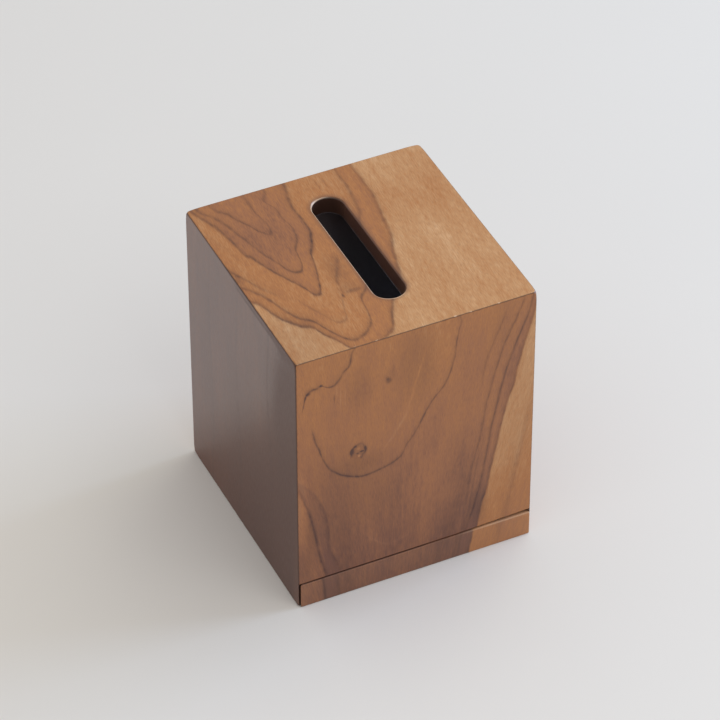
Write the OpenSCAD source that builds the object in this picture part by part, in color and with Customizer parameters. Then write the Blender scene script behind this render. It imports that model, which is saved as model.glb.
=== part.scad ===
// A square wooden tissue box. Five boards are mitred together into a case that is open
// at the foot, and a base board slides in grooves around the inside of the case. The base
// carries a strip that was sawn off the foot of the front board, so the grain runs on
// across the seam. The box stands on the table with its front towards -Y.

/* [Case] */
// Width of the case, side to side
box_w = 130; // [115:1:170]
// Depth of the case, front to back
box_d = 132; // [115:1:170]
// Height of the case above the table
box_h = 160; // [110:1:220]
// Thickness of the four standing boards
wall_t = 10; // [8:0.5:13]
// Thickness of the top board
top_t = 10; // [7:0.5:14]
// Width that sanding takes off each outer edge
sanded = 0.4; // [0.2:0.1:1.2]

/* [Tissue slot] */
// Length of the slot, end to end
slot_l = 86; // [50:0.5:88]
// Width of the slot
slot_w = 17; // [12:0.5:30]
// How far the middle of the slot lies behind the middle of the top board
slot_back = 3.25; // [-3:0.25:4]
// How far the middle of the slot lies to the right of the middle of the top board
slot_aside = 0.9; // [-3:0.1:3]
// Width of the chamfer around the mouth of the slot
slot_chamfer = 0.8; // [0.2:0.1:1.5]

/* [Sliding base] */
// Height of the front strip, which slides out with the base board
strip_h = 15; // [14:0.5:30]
// Open seam between the strip and the front board above it, along its even part
seam = 0.6; // [0.3:0.1:1.2]
// How much more the seam opens towards its right end, where the board was sanded more
seam_opening = 1.7; // [0:0.1:2.5]
// Where the seam starts to open, right of the middle of the front
seam_bend = 10; // [-40:5:50]
// Gap seen from the front between each mitred end of the strip and the side board
strip_end_gap = 0.8; // [0.6:0.1:1.6]
// How far the base stands to the right of the middle of its grooves
base_aside = 0.35; // [0:0.05:0.35]
// How far the face of the strip stands out from the front board
strip_proud = 0.3; // [0.1:0.1:0.8]
// Thickness of the base board
base_t = 6; // [4:0.5:8]
// Height of the underside of the base board above the table
base_lift = 4.5; // [3:0.5:7]
// Depth of the groove in the standing boards and in the strip
groove_d = 4; // [3:0.5:6]
// Room above the base board in the grooves of the standing boards
groove_play = 0.4; // [0.2:0.1:1]
// Room between the edges of the base board and the bottoms of the grooves
edge_play = 0.5; // [0.5:0.1:1.2]

/* [Hidden] */
$fn = 96;

// Oiled teak, as it looks on each board
TEAK_TOP = "#b98a60";
TEAK_FRONT = "#9a6b4d";
TEAK_SIDE = "#8c6550";
TEAK_BASE = "#a67a56";

// How far a cutting shape reaches past the face that it cuts
past = 1;

half_w = box_w / 2;
half_d = box_d / 2;

// The front board stops short of the table, above the strip and the open seam
front_foot = strip_h + seam;

// What the boards keep outside their grooves
groove_wall = wall_t - groove_d;

// Straight part of the slot's sides, from its middle to where its ends turn round
slot_reach = (slot_l - slot_w) / 2;

// A rectangle about the origin with its corners sanded off
module sanded_rectangle(width, height) {
    x = width / 2;
    y = height / 2;
    polygon([
        [-x + sanded, -y], [x - sanded, -y], [x, -y + sanded], [x, y - sanded],
        [x - sanded, y], [-x + sanded, y], [-x, y - sanded], [-x, -y + sanded],
    ]);
}

// Runs a section drawn in depth and height from side to side, about the middle
module run_across(length) {
    rotate([90, 0, 90])
        linear_extrude(length, center = true)
            children();
}

// The same for a section drawn in width and height, run from front to back
module run_deep(length) {
    rotate([90, 0, 0])
        linear_extrude(length, center = true)
            children();
}

// The outside of the glued case, with every outer edge sanded
module sanded_outside() {
    intersection() {
        linear_extrude(box_h)
            sanded_rectangle(box_w, box_d);
        translate([0, 0, box_h / 2])
            run_across(box_w)
                sanded_rectangle(box_d, box_h);
        translate([0, 0, box_h / 2])
            run_deep(box_d)
                sanded_rectangle(box_w, box_h);
    }
}

// Section of the top board: its edges are mitred down to the inside of the case
module top_section(half_outside) {
    half_inside = half_outside - wall_t;
    polygon([
        [-half_outside, box_h], [-half_inside, box_h - top_t],
        [half_inside, box_h - top_t], [half_outside, box_h],
    ]);
}

// Section of a standing board, its outer face at depth 0: mitred under the top board,
// and grooved for the base board if it comes down that far
module standing_section(foot) {
    difference() {
        polygon([
            [sanded, foot], [wall_t, foot], [wall_t, box_h - top_t],
            [0, box_h], [0, foot + sanded],
        ]);
        translate([groove_wall, base_lift])
            square([groove_d + past, base_t + groove_play]);
    }
}

// A standing board with its outer face towards -Y at y = 0, and both ends mitred
module standing_board(length, foot = 0) {
    half = length / 2;
    intersection() {
        linear_extrude(box_h)
            polygon([
                [-half, 0], [half, 0], [half - wall_t, wall_t], [-half + wall_t, wall_t],
            ]);
        run_across(length)
            standing_section(foot);
    }
}

// Turns a standing board to face one side of the case, and puts it there
module on_side(turn, half_case) {
    rotate([0, 0, turn])
        translate([0, -half_case, 0])
            children();
}

// Stadium outline of the tissue slot
module slot_outline() {
    square([slot_w, 2 * slot_reach], center = true);
    for (end = [-1, 1])
        translate([0, end * slot_reach])
            circle(d = slot_w);
}

// What the router takes out of the top board: the slot and the chamfer around its mouth
module slot_cutter() {
    flare = slot_chamfer + past;
    half = slot_w / 2;
    chamfer_foot = box_h - slot_chamfer;
    translate([slot_aside, slot_back, 0]) {
        translate([0, 0, box_h - top_t - past])
            linear_extrude(top_t + 2 * past)
                slot_outline();
        for (end = [-1, 1])
            translate([0, end * slot_reach, chamfer_foot])
                cylinder(h = flare, r1 = half, r2 = half + flare);
        run_deep(2 * slot_reach)
            polygon([
                [-half, chamfer_foot], [half, chamfer_foot],
                [half + flare, chamfer_foot + flare], [-half - flare, chamfer_foot + flare],
            ]);
    }
}

module top_board() {
    color(TEAK_TOP)
        difference() {
            intersection() {
                run_across(box_w)
                    top_section(half_d);
                run_deep(box_d)
                    top_section(half_w);
                sanded_outside();
            }
            slot_cutter();
        }
}

// What sanding took off the foot of the front board, from the bend to its right end
module seam_wedge() {
    rise = seam_opening * (half_w + past - seam_bend) / (half_w - seam_bend);
    translate([0, wall_t / 2 - half_d, 0])
        run_deep(wall_t + 2 * past)
            polygon([
                [seam_bend, front_foot], [seam_bend, front_foot - past],
                [half_w + past, front_foot - past], [half_w + past, front_foot + rise],
            ]);
}

module front_board() {
    color(TEAK_FRONT)
        difference() {
            intersection() {
                on_side(0, half_d)
                    standing_board(box_w, front_foot);
                sanded_outside();
            }
            seam_wedge();
        }
}

module back_board() {
    color(TEAK_FRONT)
        intersection() {
            on_side(180, half_d)
                standing_board(box_w);
            sanded_outside();
        }
}

module left_board() {
    color(TEAK_SIDE)
        intersection() {
            on_side(-90, half_w)
                standing_board(box_d);
            sanded_outside();
        }
}

module right_board() {
    color(TEAK_SIDE)
        intersection() {
            on_side(90, half_w)
                standing_board(box_d);
            sanded_outside();
        }
}

// Lies in the grooves of the left, right and back boards, and is glued into the strip's
module base_board() {
    width = box_w - 2 * (groove_wall + edge_play);
    front = -half_d + groove_wall;
    back = half_d - groove_wall - edge_play;
    color(TEAK_BASE)
        translate([base_aside - width / 2, front, base_lift])
            cube([width, back - front, base_t]);
}

// The foot of the front board, glued along the front edge of the base board. It has the
// front board's mitres and its groove, with a gap at both ends and above it.
module base_strip() {
    half_face = half_w - strip_end_gap + strip_proud;
    half_inside = half_w - strip_end_gap - wall_t;
    color(TEAK_FRONT)
        translate([base_aside, -half_d, 0])
            intersection() {
                linear_extrude(strip_h)
                    polygon([
                        [-half_face, -strip_proud], [half_face, -strip_proud],
                        [half_inside, wall_t], [-half_inside, wall_t],
                    ]);
                run_across(box_w)
                    difference() {
                        polygon([
                            [-strip_proud + sanded, 0], [wall_t, 0],
                            [wall_t, strip_h], [-strip_proud + sanded, strip_h],
                            [-strip_proud, strip_h - sanded], [-strip_proud, sanded],
                        ]);
                        translate([groove_wall, base_lift])
                            square([groove_d + past, base_t]);
                    }
            }
}

top_board();
front_board();
back_board();
left_board();
right_board();
base_board();
base_strip();
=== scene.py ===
"""The looks of a square wooden tissue box, made of mitred boards of oiled teak.

Every board keeps the form and place of its solid. Its outer edges are rounded as sanding
leaves them, and its grain is drawn in the board's own millimetres.
"""
import math
from typing import NamedTuple

import bmesh
import bpy
from bpy.props import FloatProperty, FloatVectorProperty, PointerProperty
from mathutils import Matrix, Vector


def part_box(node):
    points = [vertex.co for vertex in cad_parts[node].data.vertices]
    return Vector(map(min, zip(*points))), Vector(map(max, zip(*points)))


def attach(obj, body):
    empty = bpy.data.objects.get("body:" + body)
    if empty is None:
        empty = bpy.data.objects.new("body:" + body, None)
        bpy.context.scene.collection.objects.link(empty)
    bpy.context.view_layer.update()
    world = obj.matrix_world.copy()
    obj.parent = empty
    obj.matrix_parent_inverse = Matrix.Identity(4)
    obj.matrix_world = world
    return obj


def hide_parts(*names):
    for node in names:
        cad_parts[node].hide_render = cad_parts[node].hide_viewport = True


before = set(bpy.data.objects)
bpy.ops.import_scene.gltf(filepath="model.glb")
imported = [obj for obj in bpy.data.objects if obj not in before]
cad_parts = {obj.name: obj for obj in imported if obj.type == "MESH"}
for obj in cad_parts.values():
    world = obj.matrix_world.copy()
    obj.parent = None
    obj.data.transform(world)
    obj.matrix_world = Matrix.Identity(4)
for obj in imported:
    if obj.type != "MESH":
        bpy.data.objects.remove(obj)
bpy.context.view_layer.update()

bl_info = {
    "name": "Teak Tissue Box",
    "version": (1, 0, 0),
    "blender": (4, 5, 0),
    "location": "View3D > Sidebar > Tissue Box",
    "description": "Dresses the boards of a wooden tissue box and sets its stage",
    "category": "Object",
}

MM = 0.001

CASE_BOARDS = ("top_board", "front_board", "back_board", "left_board", "right_board")


def linear(code):
    """Turns an sRGB hex colour into linear red, green, blue and alpha."""
    parts = [int(code[i:i + 2], 16) / 255 for i in (1, 3, 5)]
    lit = [p / 12.92 if p <= 0.04045 else ((p + 0.055) / 1.055) ** 2.4 for p in parts]
    return (*lit, 1.0)


def case_corners():
    """The lowest and highest corners of the glued case."""
    lows, highs = zip(*(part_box(name) for name in CASE_BOARDS))
    low = Vector([min(corner[i] for corner in lows) for i in range(3)])
    high = Vector([max(corner[i] for corner in highs) for i in range(3)])
    return low, high


CASE_LOW, CASE_HIGH = case_corners()
CASE_SIZE = CASE_HIGH - CASE_LOW
BASE_LOW, BASE_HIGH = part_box("base_board")


# Settings


class TeakSettings(bpy.types.PropertyGroup):
    """Colours and finish of the oiled teak"""

    heart: FloatVectorProperty(
        name="Heartwood", description="Darkest brown, inside the innermost growth rings",
        default=linear("#744a39"), size=4, subtype="COLOR", min=0, max=1)
    brown: FloatVectorProperty(
        name="Brown", description="Brown of the heartwood between the rings",
        default=linear("#9e6742"), size=4, subtype="COLOR", min=0, max=1)
    golden: FloatVectorProperty(
        name="Golden brown", description="Golden brown of the younger heartwood",
        default=linear("#b07441"), size=4, subtype="COLOR", min=0, max=1)
    sapwood: FloatVectorProperty(
        name="Sapwood", description="Pale wood outside the last growth line",
        default=linear("#c39264"), size=4, subtype="COLOR", min=0, max=1)
    pale: FloatVectorProperty(
        name="Pale streaks", description="Palest fibres of the sapwood",
        default=linear("#d8ae84"), size=4, subtype="COLOR", min=0, max=1)
    line: FloatVectorProperty(
        name="Growth line", description="Dark oily line where a growth ring ends",
        default=linear("#543226"), size=4, subtype="COLOR", min=0, max=1)
    glue: FloatVectorProperty(
        name="Glue line", description="Dark glue and dust in the mitre joints",
        default=linear("#3f2b22"), size=4, subtype="COLOR", min=0, max=1)
    # Pale wood of the chips, also laid as painted highlight on the slot's left rim and the
    # strip's upper edge, and as painted light over all the strip
    pale_wear_and_highlight: FloatVectorProperty(
        name="Eased rim", description="Paler wood where sanding broke the rim of the slot",
        default=linear("#dcc0a4"), size=4, subtype="COLOR", min=0, max=1)
    roughness: FloatProperty(
        name="Roughness", description="Roughness of the oiled and sanded face",
        default=0.36, min=0, max=1, subtype="FACTOR")
    # Also laid as painted shade in the seam over the strip and on the right chamfer of the slot
    cut: FloatVectorProperty(
        name="Cut wood", description="Routed and sawn faces, darker than the sanded ones",
        default=linear("#573d36"), size=4, subtype="COLOR", min=0, max=1)
    # Darkens the walls of the slot towards its back end
    slot_end_dark: FloatVectorProperty(
        name="Scorch", description="Wood that the router burnt where it turned round",
        default=linear("#1c1210"), size=4, subtype="COLOR", min=0, max=1)
    # Painted light: a pale bluish grey that lifts the shade inside the case, over bare teak
    inside: FloatVectorProperty(
        name="Inside", description="Bare wood inside the case, grey with paper dust",
        default=linear("#c9d2e4"), size=4, subtype="COLOR", min=0, max=1)


class EdgeSettings(bpy.types.PropertyGroup):
    """How far sanding rounded the edges of the case"""

    arris: FloatProperty(
        name="Edge radius", description="Radius along the outer edges of the case",
        default=0.7 * MM, min=0.45 * MM, max=2 * MM, subtype="DISTANCE", unit="LENGTH")
    corner: FloatProperty(
        name="Corner radius", description="Radius where three outer edges meet",
        default=2.0 * MM, min=0.45 * MM, max=4 * MM, subtype="DISTANCE", unit="LENGTH")
    strip_corner: FloatProperty(
        name="Strip corner radius", description="Radius at the corners of the front strip",
        default=0.8 * MM, min=0.45 * MM, max=4 * MM, subtype="DISTANCE", unit="LENGTH")
    corner_run: FloatProperty(
        name="Corner run", description="How far from a corner the edge radius starts to grow",
        default=7 * MM, min=1 * MM, max=20 * MM, subtype="DISTANCE", unit="LENGTH")


class StageSettings(bpy.types.PropertyGroup):
    """Floor and soft studio light"""

    floor: FloatVectorProperty(
        name="Floor", description="Pale matt paper under the box",
        default=linear("#e6e5e3"), size=4, subtype="COLOR", min=0, max=1)
    room: FloatProperty(
        name="Room light", description="Strength of the light from the pale room",
        default=0.66, min=0)
    window: FloatProperty(
        name="Window light", description="Power of the low cool daylight on the right",
        default=39.6, min=0, subtype="POWER", unit="POWER")
    skylight: FloatProperty(
        name="Skylight", description="Power of the high light behind on the right",
        default=7.1, min=0, subtype="POWER", unit="POWER")
    card: FloatProperty(
        name="Card", description="Power that a white card throws on the front of the box",
        default=0.96, min=0, subtype="POWER", unit="POWER")


# Boards


class Board(NamedTuple):
    """Where a board's own millimetres start, and how they lie in the box."""

    corner: Vector
    across: Vector
    along: Vector
    into: Vector


X_AXIS = Vector((1, 0, 0))
Y_AXIS = Vector((0, 1, 0))
Z_AXIS = Vector((0, 0, 1))

BOARDS = {
    "top_board": Board(
        Vector((CASE_LOW.x, CASE_HIGH.y, CASE_HIGH.z)), X_AXIS, -Y_AXIS, -Z_AXIS),
    "front_board": Board(
        Vector((CASE_LOW.x, CASE_LOW.y, CASE_HIGH.z)), X_AXIS, -Z_AXIS, Y_AXIS),
    "left_board": Board(
        Vector((CASE_LOW.x, CASE_HIGH.y, CASE_HIGH.z)), -Y_AXIS, -Z_AXIS, X_AXIS),
    "right_board": Board(
        Vector((CASE_HIGH.x, CASE_LOW.y, CASE_HIGH.z)), Y_AXIS, -Z_AXIS, -X_AXIS),
    "back_board": Board(
        Vector((CASE_HIGH.x, CASE_HIGH.y, CASE_HIGH.z)), -X_AXIS, -Z_AXIS, -Y_AXIS),
    "base_board": Board(
        Vector((BASE_LOW.x, BASE_LOW.y, BASE_HIGH.z)), Y_AXIS, X_AXIS, -Z_AXIS),
}

# The slot lies further in from the sides of the case than this
SLOT_CLEARANCE = 15 * MM


def slot_span():
    """The slot's middle, half size across and half size along, in mm of the top board."""
    board = BOARDS["top_board"]
    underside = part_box("top_board")[0].z
    inside = CASE_SIZE / 2 - Vector((SLOT_CLEARANCE, SLOT_CLEARANCE, 0))
    middle = (CASE_LOW + CASE_HIGH) / 2
    rim = [
        vert.co - board.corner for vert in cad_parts["top_board"].data.vertices
        if vert.co.z < underside + MM and abs(vert.co.x - middle.x) < inside.x
        and abs(vert.co.y - middle.y) < inside.y
    ]
    across = [place.dot(board.across) / MM for place in rim]
    along = [place.dot(board.along) / MM for place in rim]
    return (
        (min(across) + max(across)) / 2, (min(along) + max(along)) / 2,
        (max(across) - min(across)) / 2, (max(along) - min(along)) / 2)


# The saw kerf and the sanding moved the strip's figure this far against the front board's
STRIP_SHIFT = 2.2

# Width in mm that most growth lines have
LINE_WIDTH = 0.9


class Ring(NamedTuple):
    """A growth line: points across and along the board in mm, each with its darkness.

    tone is how much paler the wood is outside the line, and width is the line's, in mm.
    """

    points: tuple
    tone: float = 0.0
    width: float = LINE_WIDTH


class Rings(NamedTuple):
    """Growth lines drawn about one heart, or straight lines where the heart is None.

    stretch is how many times longer than wide the arches are.
    """

    lines: tuple
    heart: tuple = None
    stretch: float = 3.0


# The longest distance that a growth line is measured over, in mm
REACH = 180.0

TOP_RINGS = (
    Rings(heart=(24, 0), lines=(
        Ring(tone=0.02, points=(
            (12.8, 3, 0.5), (18.8, 13, 0.6), (24.4, 24.4, 0.6), (27, 30.6, 0.7),
            (32.2, 33.8, 0.6), (32.8, 30, 0.5), (33, 25, 0.5), (31.9, 20, 0.45),
            (31.2, 14.4, 0.45), (31.6, 3, 0.4))),
    )),
    Rings(heart=(32, 0), lines=(
        Ring(tone=0.04, points=(
            (6, 4, 0.45), (10.3, 10.6, 0.5), (14, 18.8, 0.55), (17, 31, 0.55),
            (20.3, 43.8, 0.55), (24.4, 55.6, 0.6), (27.5, 65, 0.65), (32, 68.4, 0.7),
            (35, 64.4, 0.7), (36.9, 53, 0.6), (38.8, 48.8, 0.6), (41.6, 43.8, 0.6),
            (43, 38.8, 0.55), (43, 33, 0.5), (41.9, 28, 0.5), (41.6, 16.2, 0.5),
            (39, 10, 0.45), (42.5, 2.5, 0.4))),
        Ring(tone=0.22, width=1.0, points=(
            (2.8, 1.9, 0.6), (7.8, 16.2, 0.65), (11.2, 31, 0.7), (13.4, 46.6, 0.75),
            (15, 47.5, 0.75), (18.8, 58.8, 0.8), (23.8, 70.2, 0.8), (28.8, 80.9, 0.85),
            (30.6, 86.8, 0.85), (33.8, 88, 0.9), (35.6, 84.6, 0.85), (39.4, 73.4, 0.8),
            (41.6, 64.4, 0.85), (43.4, 56.9, 0.95), (46.6, 51, 1.0), (49.7, 42.5, 0.9),
            (50.3, 31, 0.75), (50.3, 18.8, 0.7), (53.8, 1.9, 0.6))),
        Ring(points=(
            (2, 20, 0), (3.8, 28.8, 0.12), (6, 35, 0.14), (8, 43.8, 0.12), (10, 52, 0))),
        Ring(points=(
            (0, 52, 0.6), (3.8, 59.4, 0.55), (6, 64.4, 0.5), (9, 71.5, 0.45),
            (11.5, 75.6, 0.35), (14, 80, 0.25), (17, 86, 0))),
        Ring(points=(
            (22, 88, 0), (24, 93.4, 0.3), (27.8, 102, 0.32), (31.2, 109.6, 0.35),
            (33.8, 112, 0.35), (36.9, 111.2, 0.35), (40, 102.8, 0.3), (41.9, 96.2, 0.28),
            (44, 92, 0.2), (46, 80, 0.2), (48, 76.5, 0.2), (50, 72, 0.1), (53, 66, 0))),
        Ring(tone=-0.08, points=(
            (0, 66, 0.4), (3.8, 70.9, 0.5), (9.4, 82, 0.6), (11.6, 89, 0.6),
            (16.6, 100.2, 0.65), (20.6, 104, 0.65), (25.6, 114, 0.65), (30.6, 124, 0.7),
            (35.6, 126.8, 0.7), (41.9, 123.7, 0.65), (47.2, 118.4, 0.65), (49.4, 107.8, 0.6),
            (50.9, 99, 0.6), (55.3, 94.6, 0.55), (75.6, 45, 0.5), (79, 37.5, 0.5),
            (81, 25, 0.5), (82.2, 12.5, 0.45), (82.2, 3, 0.4))),
        Ring(tone=0.36, width=1.1, points=(
            (0, 78.4, 0.55), (4.7, 85.2, 0.6), (7.5, 94.6, 0.65), (11.2, 100.9, 0.7),
            (15.6, 107, 0.7), (19.4, 109.3, 0.75), (22.5, 117, 0.75), (26.9, 124.6, 0.7),
            (30, 131.5, 0.5), (50.3, 130.2, 0.5), (55, 126.5, 0.7), (59, 117, 0.7),
            (62.5, 109.6, 0.65), (75.3, 91.5, 0.6), (78.8, 80.9, 0.6), (81.9, 69.6, 0.55),
            (84.4, 62.5, 0.55), (86.9, 50, 0.5), (89.4, 37.5, 0.5), (91, 25, 0.45),
            (91.2, 5, 0.4))),
    )),
    # A short slanting streak beside the slot
    Rings(lines=(
        Ring(width=1.2, points=(
            (54, 61, 0), (52.8, 67, 0.3), (49.5, 74.5, 0.3), (46.4, 80.5, 0.3), (45, 87, 0))),
    )),
)

FRONT_RINGS = (
    Rings(heart=(0, 0), stretch=1.0, lines=(
        Ring(width=0.65, points=(
            (32, 0, 0.4), (30, 3.8, 0.6), (28.8, 10.3, 0.7), (25.3, 13.8, 0.7),
            (21.9, 18.8, 0.7), (17.5, 20.3, 0.8), (13.8, 17.8, 0.9), (11.2, 18.8, 0.8),
            (8.8, 18.8, 0.85), (5.9, 21.6, 1.0), (4.4, 27.5, 0.8), (3.9, 30, 0.4),
            (3.5, 34, 0))),
    )),
    Rings(heart=(45, 40), stretch=1.5, lines=(
        Ring(width=0.7, points=(
            (70.9, 9.4, 0), (68.4, 20.6, -0.18), (66.2, 27.5, -0.22), (64.4, 35, -0.22),
            (61.6, 46, -0.25), (56.2, 58.8, -0.3), (53, 63.8, -0.28), (49.4, 68, -0.25),
            (45.6, 72.5, 0))),
        Ring(tone=-0.04, width=0.5, points=(
            (8.2, 42, 0), (8.8, 45.6, 0.31), (10.3, 51.9, 0.79), (12.8, 60, 0.79),
            (15.6, 68.8, 0.62), (17.8, 73, 0.62), (20.6, 76.2, 0.66), (24.4, 79.4, 0.7),
            (29.4, 82.4, 0.75), (34, 84.2, 0.75), (43, 84, 0.7), (50, 82.4, 0.7),
            (56.6, 79.2, 0.7), (60.3, 71.9, 0.7), (65.2, 65.2, 0.75), (70, 55, 0.79),
            (74.6, 48, 0.79), (79.3, 43, 0.75), (82.8, 35.6, 0.7), (85.2, 26.2, 0.66),
            (87, 12.5, 0.57), (89.3, 3, 0.44))),
        Ring(width=0.7, points=(
            (33, 116, 0), (35, 120.5, -0.08), (42.5, 130.5, -0.14), (50, 135.5, -0.16),
            (59.4, 134.2, -0.14), (62.5, 129.9, -0.08), (65, 126, 0))),
    )),
    Rings(heart=(33.8, 67.5), stretch=1.0, lines=(
        Ring(width=0.6, points=(
            (33.8, 62.7, 0.6), (31.9, 63.2, 0.6), (30.4, 64.6, 0.8), (29.4, 66.4, 0.8),
            (29.6, 69, 0.5), (30.8, 71, 0), (34.2, 72, 0), (35, 71.9, 0.4),
            (36.2, 70, 0.5), (37.7, 67.4, 0.8), (36.8, 65.2, 0.4), (35.2, 63, 0.4))),
    )),
    Rings(lines=(
        Ring(tone=-0.2, width=0.8, points=(
            (-4, 70, 0), (0, 78, 0), (1.2, 81.8, 0.6), (3.8, 89.9, 0.7), (6.6, 98, 0.7),
            (8.8, 108.6, 0.75), (10.3, 120.5, 0.8), (12.8, 132.4, 0.8), (15.3, 143, 0.9),
            (16.9, 160, 1.0))),
        Ring(tone=0.12, width=0.8, points=(
            (-4, 70, 0), (3, 78, 0), (9, 86, 0.1), (12.5, 94.2, 0.3), (15, 101, 0.35),
            (17, 115, 0.4), (17.2, 123.6, 0.4), (20.3, 134.2, 0.45), (23.4, 143, 0.45),
            (24.5, 160, 0.5))),
        # A broad soft shadow beside it, and one that slants down to the right of the middle
        Ring(width=5.5, points=(
            (14, 88, 0), (20, 108, 0.15), (25, 126, 0.34), (28, 143, 0.42), (30, 160, 0.4))),
        Ring(width=4.5, points=(
            (97, 84, 0), (93, 108, 0.16), (88, 126, 0.34), (84, 143, 0.4), (81, 160, 0.36))),
        Ring(width=0.65, points=(
            (114, 5, 0), (111.8, 11.9, 0.3), (108.7, 19.4, 0.35), (105.2, 28, 0.35),
            (103, 36.9, 0.35), (101.5, 43.8, 0.3), (100.9, 50, 0.1), (100.5, 54, 0))),
        Ring(width=0.65, points=(
            (123.5, 1, 0.4), (120.2, 10, 0.5), (116.5, 18.8, 0.55), (112.8, 28, 0.55),
            (110, 37.5, 0.55), (107, 47.5, 0.5), (105, 57.5, 0.5), (102.8, 67.5, 0.5),
            (101.2, 78, 0.5), (98.4, 93.6, 0.45), (95.9, 104.9, 0.4), (94, 118, 0.35),
            (93, 130, 0.25), (91, 144, 0.25), (88, 160, 0.25))),
        Ring(width=0.6, points=(
            (103, 72, 0), (102, 87, 0.25), (99.5, 100, 0.3), (97, 115, 0.3), (95, 130, 0.3),
            (92, 143, 0.3), (89, 160, 0.25))),
        Ring(tone=-0.08, width=0.7, points=(
            (128.5, 1, 0.5), (125.9, 10.6, 0.6), (122.4, 20.6, 0.7), (119, 30, 0.7),
            (115.2, 41.2, 0.7), (112, 53, 0.75), (109.3, 66.2, 0.75), (107, 76.2, 0.75),
            (105.6, 87.4, 0.75), (103.4, 101.8, 0.7), (100.9, 115.5, 0.7), (97.4, 129.9, 0.7),
            (94, 141, 0.6), (90.5, 160, 0.6))),
        Ring(tone=-0.1, width=1.6, points=(
            (133, 50, 0), (129, 70, 0.1), (124, 95, 0.22), (119.5, 120, 0.25),
            (116, 140, 0.25), (113, 160, 0.2))),
        Ring(tone=0.56, width=0.7, points=(
            (131, 2, 0.4), (129.3, 9, 0.5), (127.2, 18, 0.5), (124, 31, 0.5), (120.2, 45, 0.5),
            (118.4, 55, 0.55), (115.2, 65, 0.55), (112.8, 75, 0.6), (110.6, 84.9, 0.6),
            (109, 96.8, 0.6), (106.5, 107.4, 0.6), (104.6, 119.9, 0.65), (102, 129.2, 0.65),
            (100.2, 139.2, 0.7), (98.3, 152, 0.75), (97, 160, 0.75))),
    )),
)

# The front's fibres draw together towards this place below its foot, across and along
FRONT_FAN = (57, 400)

LEFT_RINGS = (
    Rings(lines=(
        Ring(points=((30, 0, 0.15), (27, 50, 0.2), (29, 110, 0.2), (25, 160, 0.15))),
        Ring(points=((64, 0, 0.1), (60, 60, 0.2), (63, 120, 0.15), (58, 160, 0.1))),
        Ring(points=((101, 0, 0.2), (98, 40, 0.15), (102, 100, 0.25), (99, 160, 0.2))),
        Ring(tone=0.14, width=3.0, points=(
            (140, 0, 0), (130, 30, 0), (126, 60, 0.1), (123, 160, 0.2))),
    )),
)

RIGHT_RINGS = (
    Rings(lines=(
        Ring(tone=-0.3, points=((21, 0, 0.4), (26, 45, 0.5), (22, 100, 0.5), (27, 160, 0.4))),
        Ring(points=((38, 0, 0.3), (45, 50, 0.35), (39, 110, 0.3), (46, 160, 0.3))),
        Ring(tone=-0.05, points=((71, 0, 0.35), (77, 60, 0.4), (69, 120, 0.4), (74, 160, 0.3))),
        Ring(points=((104, 0, 0.2), (109, 70, 0.3), (105, 160, 0.25))),
    )),
)

BACK_RINGS = (
    Rings(heart=(70, 18), stretch=3.5, lines=(
        Ring(tone=0.05, points=(
            (46, 0, 0.3), (45, 24, 0.4), (52, 66, 0.45), (64, 92, 0.5), (73, 95, 0.5),
            (84, 70, 0.45), (91, 26, 0.4), (90, 0, 0.3))),
        Ring(tone=0.1, points=(
            (32, 0, 0.35), (31, 26, 0.45), (40, 80, 0.5), (58, 124, 0.55), (75, 128, 0.55),
            (95, 88, 0.5), (106, 26, 0.4), (105, 0, 0.35))),
        Ring(tone=0.3, points=(
            (14, 0, 0.35), (13, 30, 0.4), (22, 92, 0.5), (44, 148, 0.5), (60, 162, 0.4),
            (90, 155, 0.4), (110, 100, 0.45), (120, 30, 0.4), (121, 0, 0.35))),
    )),
)

BASE_RINGS = (
    Rings(lines=(
        Ring(points=((18, 0, 0.3), (22, 50, 0.4), (17, 117, 0.3))),
        Ring(tone=0.1, points=((49, 0, 0.35), (54, 60, 0.4), (47, 117, 0.35))),
        Ring(points=((83, 0, 0.25), (87, 70, 0.35), (82, 117, 0.3))),
    )),
)


# Tone of the wood along each board, from its heartwood brown at 0 to pale sapwood at 1: mm
# from the start of the board, and the tone there inside the innermost growth line
TOP_TONES = ((0, 0.39), (18, 0.34), (35, 0.28), (70, 0.34), (110, 0.34))
# The front darkens towards its foot: darker wood, and painted shade where the light falls off
# towards the floor
FRONT_TONES = ((0, 0.64), (35, 0.55), (70, 0.47), (105, 0.38), (135, 0.24), (160, 0.2))
# The left board darkens towards its foot as painted shade
LEFT_TONES = ((0, 0.0), (160, -0.1))
RIGHT_TONES = ((0, 0.6), (160, 0.5))
BACK_TONES = ((0, 0.3), (160, 0.3))
BASE_TONES = ((0, 0.5), (120, 0.5))


class Spot(NamedTuple):
    """A mark in the figure: its middle and half sizes in mm, and its darkness."""

    across: float
    along: float
    width: float
    length: float
    dark: float


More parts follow.
